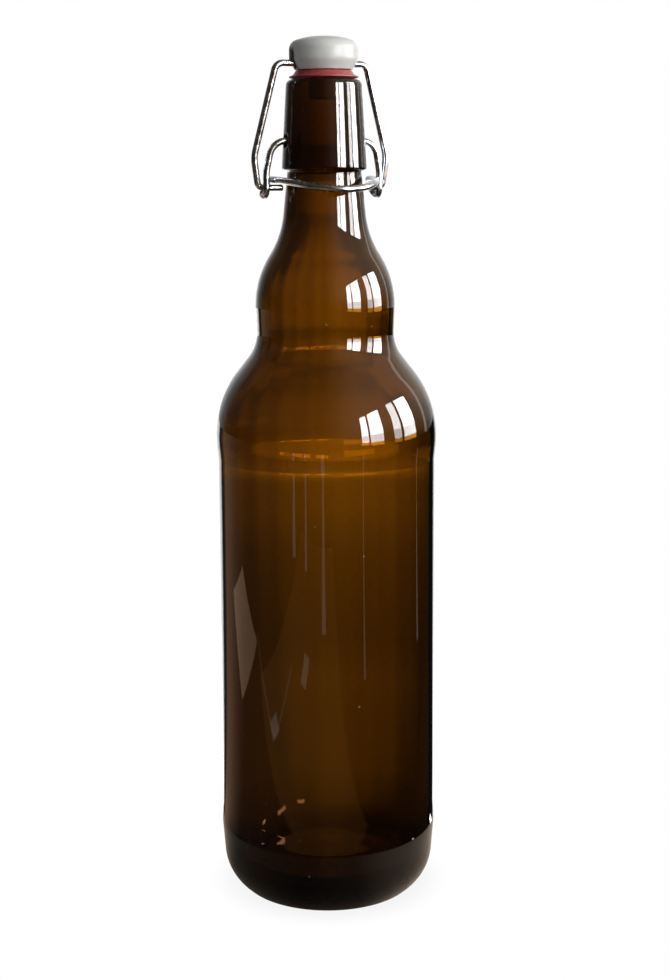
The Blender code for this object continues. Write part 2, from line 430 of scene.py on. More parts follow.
def colour_along(tree, value, levels):
    """Return the colour that (value, colour) pairs give between the first value and the last."""
    low, high = levels[0][0], levels[-1][0]
    share = add_node(tree, "MapRange", Value=value, From_Min=low, From_Max=high)
    stops = [((place - low) / (high - low), colour) for place, colour in levels]
    made = add_node(tree, "ValToRGB", stops=stops, in0=share.outputs["Result"])
    return made.outputs["Color"]


# Settings that many nodes share.
RGBA = {"data_type": 'RGBA'}
SMOOTH = {"interpolation_type": 'SMOOTHSTEP'}
MULTIPLY = {"operation": 'MULTIPLY'}
DOT_PRODUCT = {"operation": 'DOT_PRODUCT'}
SCALE = {"operation": 'SCALE'}
ADD = {"operation": 'ADD'}


def repeats(size):
    """How often a pattern with this size in millimetres repeats in a metre."""
    return 1 / (size * MM)


def new_material(name):
    """Return an empty node material with its tree and output."""
    made = bpy.data.materials.new(name)
    made.use_nodes = True
    tree = made.node_tree
    tree.nodes.clear()
    return made, tree, add_node(tree, "OutputMaterial")


def rounded_path(corners, deviation=0.01, longest=6.0):
    """Carry a path through its corners, each one eased by an arc of its own radius.

    With half the corner's angle h, the arc of radius r has its centre on the bisector at
    r / sin(h) from the corner, starts r / tan(h) before it and turns by pi - 2 h.  Its
    points are the spherical mean of its two end arms.  The straights between the arcs are
    cut to pieces no longer than the longest.
    """
    points = [np.array(c[:-1], float) for c in corners]
    path = [points[0][None]]
    for before, here, after, corner in zip(points, points[1:], points[2:], corners[1:]):
        radius = corner[-1]
        if radius == 0:
            path.append(here[None])
            continue
        back = (before - here) / np.linalg.norm(before - here)
        ahead = (after - here) / np.linalg.norm(after - here)
        half = math.acos(np.clip(back @ ahead, -1, 1)) / 2
        bisector = (back + ahead) / np.linalg.norm(back + ahead)
        centre = here + bisector * radius / math.sin(half)
        start = here + back * radius / math.tan(half) - centre
        end = here + ahead * radius / math.tan(half) - centre
        turn = math.pi - 2 * half
        steps = max(3, math.ceil(turn / (2 * math.acos(1 - deviation / radius))))
        t = np.linspace(0, turn, steps + 1)[:, None]
        path.append(centre + (np.sin(turn - t) * start + np.sin(t) * end) / math.sin(turn))
    path.append(points[-1][None])
    path = np.concatenate(path)
    gaps = np.linalg.norm(np.diff(path, axis=0), axis=1)
    path = path[np.concatenate([[True], gaps > 1e-6])]
    return resampled(path, longest)


def resampled(path, longest):
    """Keep a path's points, and add even ones where two lie further apart than the longest."""
    along = np.concatenate([[0], np.cumsum(np.linalg.norm(np.diff(path, axis=0), axis=1))])
    pieces = np.maximum(1, np.ceil(np.diff(along) / longest - 1e-9).astype(int))
    spans = [a + (b - a) * np.arange(n) / n for a, b, n in zip(along, along[1:], pieces)]
    stations = np.concatenate(spans + [along[-1:]])
    return np.stack([np.interp(stations, along, path[:, k]) for k in range(path.shape[1])], axis=1)


def turned(path, columns, crowd=0.0):
    """Turn a (radius, height) path about Z into a grid of points.

    A point is (r cos a, r sin a, z) with a = u - crowd / 2 sin 2 u, which draws the columns
    together at +X and -X, where the small hollows are.
    """
    u = np.arange(columns) * 2 * math.pi / columns
    angle = u - crowd / 2 * np.sin(2 * u)
    radius, height = path[:, :1], path[:, 1:]
    return np.stack([radius * np.cos(angle), radius * np.sin(angle), height + 0 * angle], axis=2)


def soft_minimum(a, b, blend):
    """The smaller of two surfaces, with the edge between them eased over the blend width."""
    share = np.clip(0.5 + 0.5 * (b - a) / blend, 0, 1)
    return b + (a - b) * share - blend * share * (1 - share)


def skin(name, grid, look, closed=False):
    """Make a mesh from a grid of rows and columns in millimetres, closed around its columns.

    Without closed, the first and last rows are drawn to one point each, so the skin has no
    hole.  With it, the last row joins the first, as on a ring.  A UV map holds the way along
    the rows in metres, and the share of the way around the columns.  Volume is the sum of
    every face's cone from the origin, and a skin with a negative one is turned over, so that its
    faces look outwards.
    """
    rows, columns, _ = grid.shape
    if closed:
        points = grid.reshape(-1, 3)
        index = np.arange(rows * columns).reshape(rows, columns)
        index = np.concatenate([index, index[:1]])
    else:
        first, last = grid[0].mean(0), grid[-1].mean(0)
        points = np.concatenate([first[None], grid[1:-1].reshape(-1, 3), last[None]])
        index = 1 + np.arange((rows - 2) * columns).reshape(rows - 2, columns)
    ahead = np.roll(index, -1, axis=1)
    quads = np.stack([index[:-1], index[1:], ahead[1:], ahead[:-1]], axis=2).reshape(-1, 4)
    if closed:
        fans = np.zeros((0, 3), int)
    else:
        head = np.stack([np.zeros(columns, int), index[0], ahead[0]], axis=1)
        tail = np.stack([index[-1], np.full(columns, len(points) - 1), ahead[-1]], axis=1)
        fans = np.concatenate([head, tail])
    corner = points[quads]
    across = np.cross(corner[:, 2] - corner[:, 0], corner[:, 3] - corner[:, 1])
    volume = np.einsum("ij,ij->i", corner.mean(1), across).sum()
    if volume < 0:
        quads, fans = quads[:, ::-1], fans[:, ::-1]
    mesh = bpy.data.meshes.new(name)
    mesh.from_pydata((points * MM).tolist(), [], quads.tolist() + fans.tolist())
    mesh.polygons.foreach_set("use_smooth", np.ones(len(mesh.polygons), bool))
    steps = np.linalg.norm(np.diff(grid[:, 0], axis=0), axis=1)
    along = np.concatenate([[0], np.cumsum(steps)]) * MM
    around = np.arange(columns) / columns
    vertex = np.zeros(len(mesh.loops), np.int64)
    mesh.loops.foreach_get("vertex_index", vertex)
    if closed:
        row, column = vertex // columns, vertex % columns
    else:
        tip = (vertex == 0) | (vertex == len(points) - 1)
        row = np.where(tip, np.where(vertex == 0, 0, rows - 1), 1 + (vertex - 1) // columns)
        column = np.where(tip, 0, (vertex - 1) % columns)
    layer = mesh.uv_layers.new(name="along_and_around")
    spots = np.stack([along[row], around[column]], axis=1)
    layer.data.foreach_set("uv", spots.astype(np.float32).ravel())
    mesh.update()
    made = bpy.data.objects.new(name, mesh)
    bpy.context.scene.collection.objects.link(made)
    mesh.materials.append(look)
    return made


def dress(piece, body, node):
    """Let a finished piece ride on a body in place of its solid."""
    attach(piece, body)
    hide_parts(node)


def tube(path, aside, radius):
    """Carry a circle of the given radius along a path, as a grid of rings.

    At each point with direction t the circle's arms are n = t x aside and t x n, and the
    ring is point + radius (n cos a + (t x n) sin a).  The first ring is drawn in to a
    rounded end.
    """
    tangent = np.gradient(path, axis=0)
    tangent /= np.linalg.norm(tangent, axis=1)[:, None]
    tip, share = np.array(WIRE_TIP).T
    start = path[0] + tip[:, None] * tangent[0]
    keep = np.linalg.norm(path - path[0], axis=1) > tip[-1] + WIRE_TIP_GAP
    path = np.concatenate([start, path[keep]])
    tangent = np.concatenate([np.repeat(tangent[:1], len(tip), axis=0), tangent[keep]])
    radii = np.concatenate([share, np.ones(keep.sum())]) * radius
    n = np.cross(tangent, aside)
    n /= np.linalg.norm(n, axis=1)[:, None]
    m = np.cross(tangent, n)
    a = np.arange(WIRE_SIDES) * 2 * math.pi / WIRE_SIDES
    ring = n[:, None] * np.cos(a)[None, :, None] + m[:, None] * np.sin(a)[None, :, None]
    return path[:, None] + ring * radii[:, None, None]


def both_sides(half):
    """Join a grid of rings that ends on the plane x = 0 with its mirror image."""
    other = half[::-1][1:] * np.array([-1.0, 1.0, 1.0])
    return np.concatenate([half, other])


def brown_bottle_glass(settings):
    """Brown soda lime glass, blown in a mould.

    Iron and sulphur give the amber, and the thick collar and heel look nearly black.
    """
    made, tree, output = new_material("blown_brown_soda_lime_glass")
    place = add_node(tree, "TexCoord").outputs["Object"]
    # Cords are streaks of slightly different glass, drawn out along the bottle.
    drawn = add_node(tree, "Mapping", Vector=place, Scale=(1.0, 1.0, CORD_STRETCH))
    cords = add_node(
        tree, "TexNoise", Vector=drawn.outputs["Vector"], Scale=repeats(CORD_WIDTH), Detail=2.0)
    clear = tuple(settings.colour)
    streak = tuple(c * 0.93 for c in clear)
    tint = add_node(
        tree, "ValToRGB", stops=((0.30, streak), (0.70, clear)), in0=cords.outputs["Fac"])
    # Dust and handling dull the outside a little in patches.
    dust = add_node(
        tree, "TexNoise", Vector=place, Scale=repeats(DUST_PATCH), Detail=5.0, Roughness=0.7)
    rough = add_node(
        tree, "MapRange", Value=dust.outputs["Fac"],
        From_Min=0.58, From_Max=0.85, To_Min=0.0, To_Max=0.05)
    waves = add_node(tree, "TexNoise", Vector=place, Scale=repeats(GLASS_WAVE), Detail=1.0)
    wavy = add_node(
        tree, "Bump", Height=waves.outputs["Fac"], Strength=0.5, Distance=0.12 * MM)
    # The mould stipples the foot with fine grains, so that it keeps its grip when wet.
    full, none = FOOT_GRAIN_TOP
    height = add_node(tree, "SeparateXYZ", Vector=place).outputs["Z"]
    foot = add_node(
        tree, "MapRange", Value=height,
        From_Min=full * MM, From_Max=none * MM, To_Min=0.9, To_Max=0.0)
    grains = add_node(tree, "TexNoise", Vector=place, Scale=repeats(FOOT_GRAIN), Detail=2.0)
    bump = add_node(
        tree, "Bump", Height=grains.outputs["Fac"], Strength=foot.outputs["Result"],
        Distance=0.4 * MM, Normal=wavy.outputs["Normal"])
    glass = add_node(
        tree, "BsdfPrincipled", Base_Color=tint.outputs["Color"],
        Roughness=rough.outputs["Result"], IOR=1.52, Transmission_Weight=1.0,
        Normal=bump.outputs["Normal"])
    # Lint is pale specks on the outside, drawn about 0.7 mm wide so that they show.
    cells = add_node(tree, "TexVoronoi", Vector=place, Scale=repeats(LINT_SPACING))
    speck = add_node(
        tree, "MapRange", Value=cells.outputs["Distance"],
        From_Min=0.015, From_Max=0.045, To_Min=0.35, To_Max=0.0)
    lint = add_node(tree, "BsdfDiffuse", Color=linear("#b8a890"))
    dusty = add_node(
        tree, "MixShader", in0=speck.outputs["Result"], in1=glass.outputs["BSDF"],
        in2=lint.outputs["BSDF"])
    tree.links.new(dusty.outputs["Shader"], output.inputs["Surface"])
    # The wall itself soaks up blue first, then green, then red.
    wall = add_node(
        tree, "VolumeAbsorption", Color=linear("#d9cf00"), Density=settings.depth)
    tree.links.new(wall.outputs["Volume"], output.inputs["Volume"])
    return made


def glazed_porcelain(settings):
    """Hard porcelain with a clear fired glaze.

    The body is a greyish white, and the skin has a soft gloss, a slight orange peel and a
    few iron specks.
    """
    made, tree, output = new_material("glazed_hard_porcelain")
    place = add_node(tree, "TexCoord").outputs["Object"]
    cloud = add_node(tree, "TexNoise", Vector=place, Scale=repeats(PORCELAIN_CLOUD), Detail=3.0)
    white = tuple(settings.porcelain_colour)
    dull = tuple(c * 0.94 for c in white)
    body = add_node(
        tree, "ValToRGB", stops=((0.35, dull), (0.65, white)), in0=cloud.outputs["Fac"])
    # Specks of iron are about 0.2 mm across.
    cells = add_node(tree, "TexVoronoi", Vector=place, Scale=repeats(IRON_SPACING))
    speck = add_node(
        tree, "MapRange", Value=cells.outputs["Distance"],
        From_Min=0.035, From_Max=0.06, To_Min=1.0, To_Max=0.0)
    colour = add_node(
        tree, "Mix", RGBA, in0=speck.outputs["Result"], in6=body.outputs["Color"],
        in7=linear("#8a7c68"))
    # Painted shade in the two side notches, where the wire sits, darkens the glaze to dark grey.
    spot = add_node(tree, "SeparateXYZ", Vector=place).outputs
    off = add_node(tree, "Math", {"operation": 'ABSOLUTE'}, in0=spot["Y"])
    notch_shade = 1.0
    for value, (start, end), first, last in (
        (off.outputs["Value"], NOTCH_SHADE_WIDTH, 0.85, 0.0),
        (spot["Z"], NOTCH_SHADE_TOP, 1.0, 0.0),
        (spot["Z"], NOTCH_SHADE_FOOT, 0.0, 1.0),
    ):
        limit = add_node(
            tree, "MapRange", Value=value,
            From_Min=start * MM, From_Max=end * MM, To_Min=first, To_Max=last)
        both = add_node(tree, "Math", MULTIPLY, in0=limit.outputs["Result"], in1=notch_shade)
        notch_shade = both.outputs["Value"]
    colour = add_node(
        tree, "Mix", RGBA, in0=notch_shade, in6=colour.outputs[2], in7=linear("#26241f"))
    peel = add_node(tree, "TexNoise", Vector=place, Scale=repeats(GLAZE_PEEL), Detail=1.0)
    bump = add_node(tree, "Bump", Height=peel.outputs["Fac"], Strength=0.3, Distance=0.04 * MM)
    shader = add_node(
        tree, "BsdfPrincipled", Base_Color=colour.outputs[2], Roughness=0.36, IOR=1.50,
        Specular_IOR_Level=0.2, Coat_Weight=0.04, Coat_Roughness=0.12, Coat_IOR=1.5,
        Normal=bump.outputs["Normal"])
    tree.links.new(shader.outputs["BSDF"], output.inputs["Surface"])
    return made


def red_seal_rubber(settings):
    """Moulded natural rubber, dyed red.

    It has a soft sheen, faint mottling, and a fine matt grain from the mould.
    """
    made, tree, output = new_material("moulded_red_rubber")
    place = add_node(tree, "TexCoord").outputs["Object"]
    mottle = add_node(tree, "TexNoise", Vector=place, Scale=repeats(RUBBER_MOTTLE), Detail=4.0)
    red = tuple(settings.rubber_colour)
    dark = tuple(c * 0.75 for c in red)
    body = add_node(
        tree, "ValToRGB", stops=((0.3, dark), (0.7, red)), in0=mottle.outputs["Fac"])
    grain = add_node(tree, "TexNoise", Vector=place, Scale=repeats(RUBBER_GRAIN), Detail=2.0)
    bump = add_node(tree, "Bump", Height=grain.outputs["Fac"], Strength=0.4, Distance=0.05 * MM)
    rough = add_node(
        tree, "MapRange", Value=mottle.outputs["Fac"],
        From_Min=0.2, From_Max=0.8, To_Min=0.30, To_Max=0.45)
    shader = add_node(
        tree, "BsdfPrincipled", Base_Color=body.outputs["Color"],
        Roughness=rough.outputs["Result"], IOR=1.52, Normal=bump.outputs["Normal"])
    tree.links.new(shader.outputs["BSDF"], output.inputs["Surface"])
    return made


def drawn_steel():
    """Bright zinc coated steel wire, drawn through a die.

    It mirrors what is round it, with fine lines along the wire and small dull spots.
    """
    made, tree, output = new_material("bright_drawn_steel_wire")
    place = add_node(tree, "TexCoord").outputs
    # The die leaves lines along the wire, drawn here about 0.3 mm wide so that they show.
    drawn = add_node(
        tree, "Mapping", Vector=place["UV"], Scale=(repeats(DIE_LINE_LENGTH), DIE_LINES, 1.0))
    lines = add_node(
        tree, "TexNoise", Vector=drawn.outputs["Vector"], Scale=1.0, Detail=3.0, Roughness=0.6)
    spots = add_node(
        tree, "TexNoise", Vector=place["Object"], Scale=repeats(STEEL_SPOT), Detail=4.0,
        Roughness=0.65)
    tone = add_node(
        tree, "ValToRGB", stops=((0.35, linear("#aeb3b8")), (0.62, linear("#cfd4d9"))),
        in0=spots.outputs["Fac"])
    rough = add_node(
        tree, "MapRange", Value=spots.outputs["Fac"],
        From_Min=0.3, From_Max=0.75, To_Min=0.12, To_Max=0.34)
    bump = add_node(tree, "Bump", Height=lines.outputs["Fac"], Strength=0.5, Distance=0.04 * MM)
    shader = add_node(
        tree, "BsdfPrincipled", Base_Color=tone.outputs["Color"], Metallic=1.0,
        Roughness=rough.outputs["Result"], Normal=bump.outputs["Normal"])
    tree.links.new(shader.outputs["BSDF"], output.inputs["Surface"])
    return made


def glass_grid(settings):
    """The bottle's skin: its inside, lip, outside and base as one profile turned about Z.

    The inner wall's radius swells by small cosines of the angle and height, as blown glass
    does.  A dimple takes the smaller of the collar's own x and floor + slope (q - q0), with
    q the distance from the pivots' axis, on each side.
    """
    lip = (LIP_MIDDLE, LIP_HEIGHT, 0.0)
    inside = rounded_path(GLASS_INSIDE + [lip], longest=4.0)
    outside = rounded_path([lip] + GLASS_OUTSIDE + GLASS_BASE, longest=4.0)
    near = (np.abs(outside[:, 1] - PIVOT_HEIGHT) < FINE_BAND) & (outside[:, 0] > COLLAR_LEAST)
    band = np.flatnonzero(near)
    fine = resampled(outside[band[0] - 1:band[-1] + 2], FINE_STEP)
    outside = np.concatenate([outside[:band[0] - 1], fine, outside[band[-1] + 2:]])
    grid = turned(np.concatenate([inside, outside[1:]]), settings.columns, crowd=0.6)
    x, y, z = grid[..., 0], grid[..., 1], grid[..., 2]
    angle = np.arctan2(y, x)
    wave = sum(
        share * np.cos(lobes * angle + start + z / rise) for lobes, start, rise, share in WALL_WAVES)
    wave = wave * settings.waviness / MM
    wall = np.zeros(len(grid))
    wide_enough = np.clip((inside[:, 0] - WAVES_START_RADIUS) / WAVES_RADIUS_SPAN, 0, 1)
    low_enough = np.clip((WAVES_TOP - inside[:, 1]) / WAVES_TOP_SPAN, 0, 1)
    wall[:len(inside)] = wide_enough * low_enough
    swell = 1 + wave * wall[:, None] / np.maximum(np.hypot(x, y), 1)
    x, y = x * swell, y * swell
    outer = (np.arange(len(grid)) > len(inside))[:, None]
    q = np.hypot(y, z - PIVOT_HEIGHT)
    cone = DIMPLE_FLOOR + DIMPLE_SLOPE * np.maximum(q - DIMPLE_FLOOR_RADIUS, 0)
    pressed = soft_minimum(np.abs(x), cone, DIMPLE_EASE)
    x = np.where(outer & (q < DIMPLE_REACH) & (np.abs(x) > NEAR_AXIS), np.sign(x) * pressed, x)
    return np.stack([x, y, z], axis=2)


def stopper_grid():
    """The stopper's skin: head, stem and plug as one profile turned about Z.

    In a notch the radius is cut to c cos a - sqrt(n^2 - (c sin a)^2), the near side of a
    circle of radius n centred at c, and n shrinks to nothing under a round top.  The cross
    bore is pressed in from both sides as a round hollow.
    """
    path = rounded_path(STOPPER, deviation=0.004, longest=0.35)
    grid = turned(path, STOPPER_COLUMNS, crowd=0.55)
    x, y, z = grid[..., 0], grid[..., 1], grid[..., 2]
    radius, angle = np.hypot(x, y), np.arctan2(y, np.abs(x))
    round_top = NOTCH_TOP - NOTCH_RADIUS
    notch = np.sqrt(np.maximum(NOTCH_RADIUS ** 2 - np.maximum(z - round_top, 0) ** 2, 0))
    inside = notch ** 2 - (NOTCH_CENTRE * np.sin(angle)) ** 2
    near_side = NOTCH_CENTRE * np.cos(angle) - np.sqrt(np.maximum(inside, 0))
    edge = NOTCH_CENTRE + NOTCH_SPREAD * (NOTCH_CENTRE * np.abs(np.sin(angle)) - notch)
    cut = np.where(inside > 0, near_side, np.maximum(edge, HEAD_RADIUS))
    cut = soft_minimum(radius, cut, NOTCH_EASE)
    head = (z > SEAL_TOP + GAP + 0.05) & (z < NOTCH_TOP + 1.0) & (radius > NEAR_AXIS)
    radius = np.where(head, np.minimum(cut, radius), radius)
    turn = np.arctan2(y, x)
    x, y = radius * np.cos(turn), radius * np.sin(turn)
    q = np.hypot(y, z - BORE_HEIGHT)
    hole = BORE_FLOOR + BORE_SLOPE * np.maximum(q - (WIRE_RADIUS + GAP - 0.1), 0)
    sunk = soft_minimum(np.abs(x), hole, BORE_EASE)
    x = np.where((q < BORE_REACH) & (np.abs(x) > BORE_FLOOR), np.sign(x) * sunk, x)
    return np.stack([x, y, z], axis=2)


def bail_grid(radius):
    """The bail's skin: a wire with a tip in each eye, two bowed legs and the bar in the stopper.

    The bar has slid a little towards -X in its bore, so every point above the eyes moves
    by a share of that slip.
    """
    lean = EYE_BACK / (BORE_HEIGHT - EYE_HEIGHT)
    elbow_x, elbow_z = BAIL_ELBOW
    half = rounded_path([
        (BAIL_END, EYE_BACK, EYE_HEIGHT, 0),
        (BAIL_SIDE, EYE_BACK, EYE_HEIGHT, 2.4),
        (elbow_x, lean * (BORE_HEIGHT - elbow_z), elbow_z, 14.0),
        (BAIL_SHOULDER, 0, BORE_HEIGHT, 3.4),
        (0, 0, BORE_HEIGHT, 0),
    ], deviation=0.004, longest=1.2)
    grid = both_sides(tube(half, (0.0, 1.0, 0.0), radius))
    share = np.maximum(0, grid[..., 2] - EYE_HEIGHT) / (BORE_HEIGHT - EYE_HEIGHT)
    grid[..., 0] -= BAIL_SHIFT * share
    return grid


def lever_grid(radius):
    """The lever's skin: pivot end, arm, three quarters of an eye, then the handle.

    The eye is (side, b - r cos a, h - r sin a) for a up to 270 degrees while its side eases
    inwards, and the handle is (w cos t, b - reach sin t, top - droop sin^2 t).
    """
    eye_front = EYE_BACK - EYE_RADIUS
    arm = rounded_path([
        (LEVER_END, 0, PIVOT_HEIGHT, 0),
        (LEVER_SHOULDER, 0, PIVOT_HEIGHT, 6.5),
        (LEVER_SIDE, eye_front, EYE_HEIGHT + 6.0, 12.0),
        (LEVER_SIDE, eye_front, EYE_HEIGHT, 0),
    ], deviation=0.004, longest=1.0)
    a = np.linspace(0, 1.5 * math.pi, LEVER_STEPS)[1:]
    ease = np.clip((a - EYE_EASE_START) / EYE_EASE_TURN, 0, 1)
    side = LEVER_SIDE + (HANDLE_HALF_WIDTH - LEVER_SIDE) * ease * ease * (3 - 2 * ease)
    eye = np.stack([
        side,
        EYE_BACK - EYE_RADIUS * np.cos(a),
        EYE_HEIGHT - EYE_RADIUS * np.sin(a),
    ], axis=1)
    t = np.linspace(0, 0.5 * math.pi, LEVER_STEPS)[1:]
    handle = np.stack([
        HANDLE_HALF_WIDTH * np.cos(t),
        EYE_BACK - HANDLE_REACH * np.sin(t),
        EYE_HEIGHT + EYE_RADIUS - HANDLE_DROOP * np.sin(t) ** 2,
    ], axis=1)
    handle[-1, 0] = 0
    aside = np.array([1.0, 1.0, 1.0]) / math.sqrt(3)
    grid = tube(np.concatenate([arm, eye, handle]), aside, radius)
    grid[-1, :, 0] = 0
    return both_sides(grid)


class BOTTLE_OT_add_glass(Operator):
    """Build the brown glass bottle"""

    bl_idname = "bottle.add_glass"
    bl_label = "Add glass bottle"

    def execute(self, context):
        settings = context.scene.bottle_glass
        bottle = skin("brown_glass_bottle", glass_grid(settings), brown_bottle_glass(settings))
        dress(bottle, "bottle", "glass_bottle")
        return {'FINISHED'}


class BOTTLE_OT_add_stopper(Operator):
    """Build the porcelain stopper with its notches, bore and plug"""

    bl_idname = "bottle.add_stopper"
    bl_label = "Add porcelain stopper"

    def execute(self, context):
        look = glazed_porcelain(context.scene.bottle_closure)
        dress(skin("porcelain_stopper", stopper_grid(), look), "closure", "stopper")
        return {'FINISHED'}


class BOTTLE_OT_add_seal(Operator):
    """Build the red rubber seal that lies between the stopper and the lip"""

    bl_idname = "bottle.add_seal"
    bl_label = "Add rubber seal"

    def execute(self, context):
        look = red_seal_rubber(context.scene.bottle_closure)
        path = rounded_path(SEAL, deviation=0.004, longest=0.4)
        grid = turned(path, SEAL_COLUMNS)
        dress(skin("red_rubber_seal", grid, look, closed=True), "closure", "rubber_seal")
        return {'FINISHED'}


class BOTTLE_OT_add_wires(Operator):
    """Build the bail that holds the stopper and the lever that shuts it"""

    bl_idname = "bottle.add_wires"
    bl_label = "Add steel wires"

    def execute(self, context):
        look = drawn_steel()
        radius = context.scene.bottle_closure.wire_radius / MM
        dress(skin("steel_wire_bail", bail_grid(radius), look), "bail", "wire_bail")
        dress(skin("steel_wire_lever", lever_grid(radius), look), "lever", "wire_lever")
        return {'FINISHED'}


def studio_direction(across):
    """A level direction from the bottle, across degrees to the right of the camera."""
    turn = CAMERA_TURN - math.radians(across)
    return Vector((-math.sin(turn), -math.cos(turn), 0.0))


def add_panel(name, across, away, aside, height, wide, tall, **rays):
    """Add an upright rectangular light, seen only by the named rays.

    Its plane stands at the given distance and turn from the bottle, and its middle is
    aside metres along that plane and height metres above the table.
    """
    data = bpy.data.lights.new(name, 'AREA')
    data.shape = 'RECTANGLE'
    data.size, data.size_y = wide, tall
    made = bpy.data.objects.new(name, data)
    bpy.context.scene.collection.objects.link(made)
    outwards = studio_direction(across)
    along = studio_direction(across + 90.0)
    made.location = outwards * away + along * aside + Vector((0, 0, height))
    made.rotation_euler = outwards.to_track_quat('Z', 'Y').to_euler()
    made.visible_camera = False
    for kind in ("diffuse", "glossy", "transmission"):
        setattr(made, "visible_" + kind, rays.get(kind, False))
    return made


def add_window(strength):
    """Add the window's panes, each in three bands, once as mirrored and once as seen through.

    A band's power is its brightness by its area by pi, so its size doesn't change its look.
    """
    for name, left, right, share in WINDOW_PANES:
        for low, high, dim, shown, colour in WINDOW_BANDS:
            for kind, part in (("mirrored", 1.0), ("through", shown)):
                panel = add_panel(
                    f"window_{name}_{kind}", WINDOW_TURN, WINDOW_DISTANCE, (left + right) / 2,
                    (low + high) / 2, right - left, high - low,
                    glossy=True, transmission=kind == "through")
                panel.data.color = colour[:3]
                area = (right - left) * (high - low)
                panel.data.energy = strength * part * dim * share * area * math.pi


def ray_mix(tree, seen, mirrored, through):
    """Return a colour socket that gives each kind of ray its own brightness."""
    path = add_node(tree, "LightPath").outputs
    value = grey(SOFT_LEVEL)
    for kind, light in (("Glossy", mirrored), ("Transmission", through), ("Camera", seen)):
        mixed = add_node(tree, "Mix", RGBA, in0=path[f"Is {kind} Ray"], in6=value, in7=light)
        value = mixed.outputs[2]
    return value


def left_dimness(tree, place):
    """A factor that falls from 1 on the right of the bottle to LEFT_DIMNESS on its left."""
    flat = add_node(tree, "VectorMath", MULTIPLY, in0=place, in1=(1.0, 1.0, 0.0))
    unit = add_node(
        tree, "VectorMath", {"operation": 'NORMALIZE'}, in0=flat.outputs["Vector"])
    left = add_node(
        tree, "VectorMath", DOT_PRODUCT, in0=unit.outputs["Vector"], in1=studio_direction(-90.0))
    share = add_node(
        tree, "MapRange", SMOOTH, Value=left.outputs["Value"],
        From_Min=-0.06, From_Max=0.22, To_Min=1.0, To_Max=LEFT_DIMNESS)
    return share.outputs["Result"]


def ahead_right_turn(tree, place):
    """How far a place lies ahead and to the right, seen from the bottle, and its turn.

    Ahead is towards the camera.  The turn is arctan2(right, ahead), in radians.
    """
    front, side = studio_direction(0.0), studio_direction(90.0)
    ahead = add_node(tree, "VectorMath", DOT_PRODUCT, in0=place, in1=front).outputs["Value"]
    right = add_node(tree, "VectorMath", DOT_PRODUCT, in0=place, in1=side).outputs["Value"]
    turn = add_node(tree, "Math", {"operation": 'ARCTAN2'}, in0=right, in1=ahead)
    return ahead, right, turn.outputs["Value"]


def build_sky():
    """A plain white surround, full white where it is seen.

    It is a brown room where it is mirrored, and a dimmer wall where it is seen through glass.
    """
    world = bpy.data.worlds.new("pale_studio")
    world.use_nodes = True
    tree = world.node_tree
    tree.nodes.clear()
    direction = add_node(tree, "TexCoord").outputs["Generated"]
    ahead, right, turn = ahead_right_turn(tree, direction)
    behind = add_node(tree, "Math", MULTIPLY, in0=ahead, in1=-1.0).outputs["Value"]
    height = add_node(tree, "SeparateXYZ", Vector=direction).outputs["Z"]
    lift = add_node(
        tree, "MapRange", Value=height, From_Min=-0.02, From_Max=0.25, To_Min=0.10, To_Max=1.0)
    across = add_node(
        tree, "VectorMath", SCALE, in0=colour_along(tree, right, ROOM_ACROSS),
        Scale=lift.outputs["Result"])
    # The door frame draws the pale line down the neck and the shoulder.
    off = add_node(tree, "Math", {"operation": 'SUBTRACT'}, in0=turn, in1=FRAME_TURN)
    off = add_node(tree, "Math", {"operation": 'ABSOLUTE'}, in0=off.outputs["Value"])
    frame_light = add_node(
        tree, "MapRange", SMOOTH, Value=off.outputs["Value"],
        From_Min=FRAME_BRIGHT, From_Max=FRAME_FADED, To_Min=FRAME_LEVEL, To_Max=0.0)
    mirrored = colour_along(tree, behind, ROOM_BEHIND)
    for light in (across.outputs["Vector"], frame_light.outputs["Result"]):
        mirrored = add_node(tree, "VectorMath", ADD, in0=mirrored, in1=light).outputs["Vector"]
    wall = colour_along(tree, height, WALL_THROUGH)
    through = add_node(
        tree, "VectorMath", SCALE, in0=wall, Scale=left_dimness(tree, direction))
    light = ray_mix(tree, grey(1.0), mirrored, through.outputs["Vector"])
    background = add_node(tree, "Background", Color=light, Strength=1.0)
    output = add_node(tree, "OutputWorld")
    tree.links.new(background.outputs["Background"], output.inputs["Surface"])
    bpy.context.scene.world = world


def with_painted_patches(tree, place, total, sheets):
    """Add painted patches of light, shaped as flat sheets, to the table's glow.

    A sheet is 1 where the place, measured from its middle along its length and its width,
    is within half of each, and falls to 0 over a few millimetres.
    """
    for across, distance, half_length, half_width, tilt, colour in sheets:
        middle = studio_direction(across) * distance
        soft = min(SHEET_EDGE, SHEET_EDGE_SHARE * max(half_length, half_width))
        share = 1.0
        for side, half in ((across + tilt, half_length), (across + tilt + 90.0, half_width)):
            axis = studio_direction(side)
            along = add_node(tree, "VectorMath", DOT_PRODUCT, in0=place, in1=axis)
            off = add_node(
                tree, "Math", {"operation": 'SUBTRACT'}, in0=along.outputs["Value"],
                in1=middle.dot(axis))
            off = add_node(tree, "Math", {"operation": 'ABSOLUTE'}, in0=off.outputs["Value"])
            inside = add_node(
                tree, "MapRange", SMOOTH, Value=off.outputs["Value"],
                From_Min=half, From_Max=half + soft, To_Min=1.0, To_Max=0.0)
            both = add_node(tree, "Math", MULTIPLY, in0=inside.outputs["Result"], in1=share)
            share = both.outputs["Value"]
        sheet = add_node(tree, "VectorMath", SCALE, in0=colour[:3], Scale=share)
        total = add_node(tree, "VectorMath", ADD, in0=total, in1=sheet.outputs["Vector"])
        total = total.outputs["Vector"]
    return total


